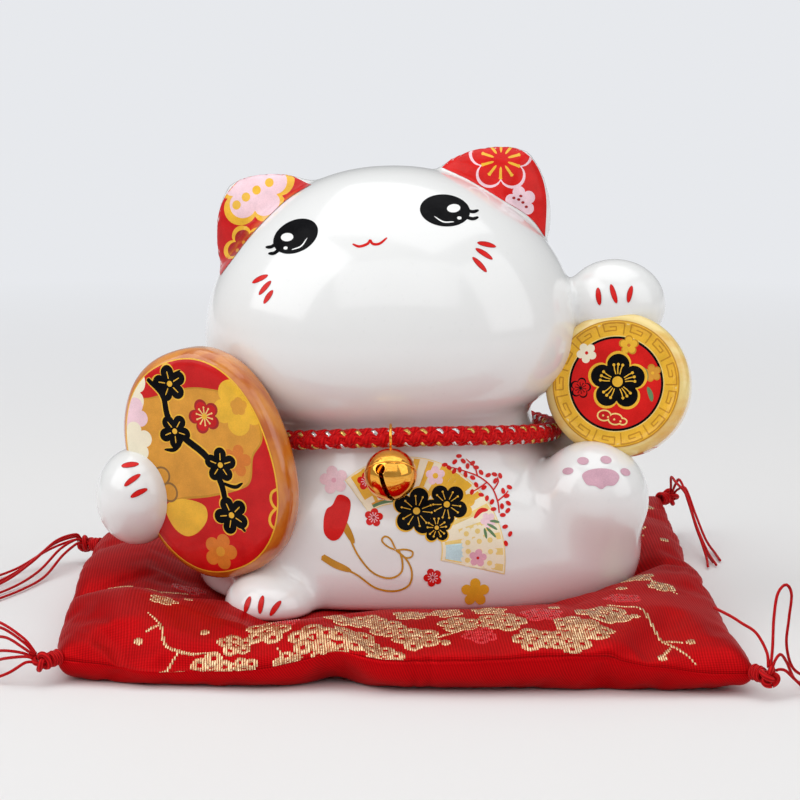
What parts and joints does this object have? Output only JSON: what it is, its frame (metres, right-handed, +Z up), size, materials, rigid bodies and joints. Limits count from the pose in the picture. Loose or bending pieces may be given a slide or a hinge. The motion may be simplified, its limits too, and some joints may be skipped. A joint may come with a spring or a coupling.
{
  "type": "ceramic cat figurine",
  "caption": "Glazed ceramic seated cat with a raised paw, a coin and an oval plaque, a braided collar with a bell, on a tasselled satin cushion.",
  "frame": {"origin": "on the flat underside of the cushion, under its middle", "axes": "+Z up, the cat faces -Y, +X is the side of its raised paw and coin"},
  "size_m": [0.26, 0.2022, 0.134],
  "materials": {
    "white_glaze": "gloss",
    "yellow_glaze": "gloss",
    "amber_glaze": "gloss",
    "red_braid": "satin",
    "gilt_brass": "polished",
    "pellet_steel": "polished",
    "red_brocade": "satin",
    "red_satin": "satin",
    "white_wadding": "matte",
    "red_thread": "satin"
  },
  "bodies": {
    "cushion": {"cushion_filling": "white_wadding", "cushion_bottom_panel": "red_satin", "cushion_top_panel": "red_brocade", "tassel_knot_front_left": "red_thread", "tassel_knot_front_right": "red_thread", "tassel_knot_back_right": "red_thread", "tassel_knot_back_left": "red_thread", "tassel_front_left": "red_thread", "tassel_front_right": "red_thread", "tassel_back_right": "red_thread", "tassel_back_left": "red_thread"},
    "cat": {"cat_body": "white_glaze", "raised_arm": "white_glaze", "coin": "yellow_glaze", "koban": "amber_glaze", "koban_arm": "white_glaze", "collar_cord": "red_braid", "collar_ferrule": "gilt_brass"},
    "bell": {"bell_loop": "gilt_brass", "bell_upper_shell": "gilt_brass", "bell_lower_shell": "gilt_brass"},
    "pellet": {"bell_pellet": "pellet_steel"}
  },
  "joints": [
    {"name": "cat_lift", "type": "slide", "parent": "cushion", "child": "cat", "axis": [0, 0, 1], "range_m": [0, 0.06]},
    {"name": "bell_swing", "type": "hinge", "parent": "cat", "child": "bell", "pos_m": [-0.0026, -0.03894, 0.05728], "axis": [-1, 0, 0], "range_deg": [0, 75]},
    {"name": "pellet_roll", "type": "hinge", "parent": "bell", "child": "pellet", "pos_m": [-0.0026, -0.0463, 0.0483], "axis": [1, 0, 0], "range_deg": [-60, 60]}
  ]
}
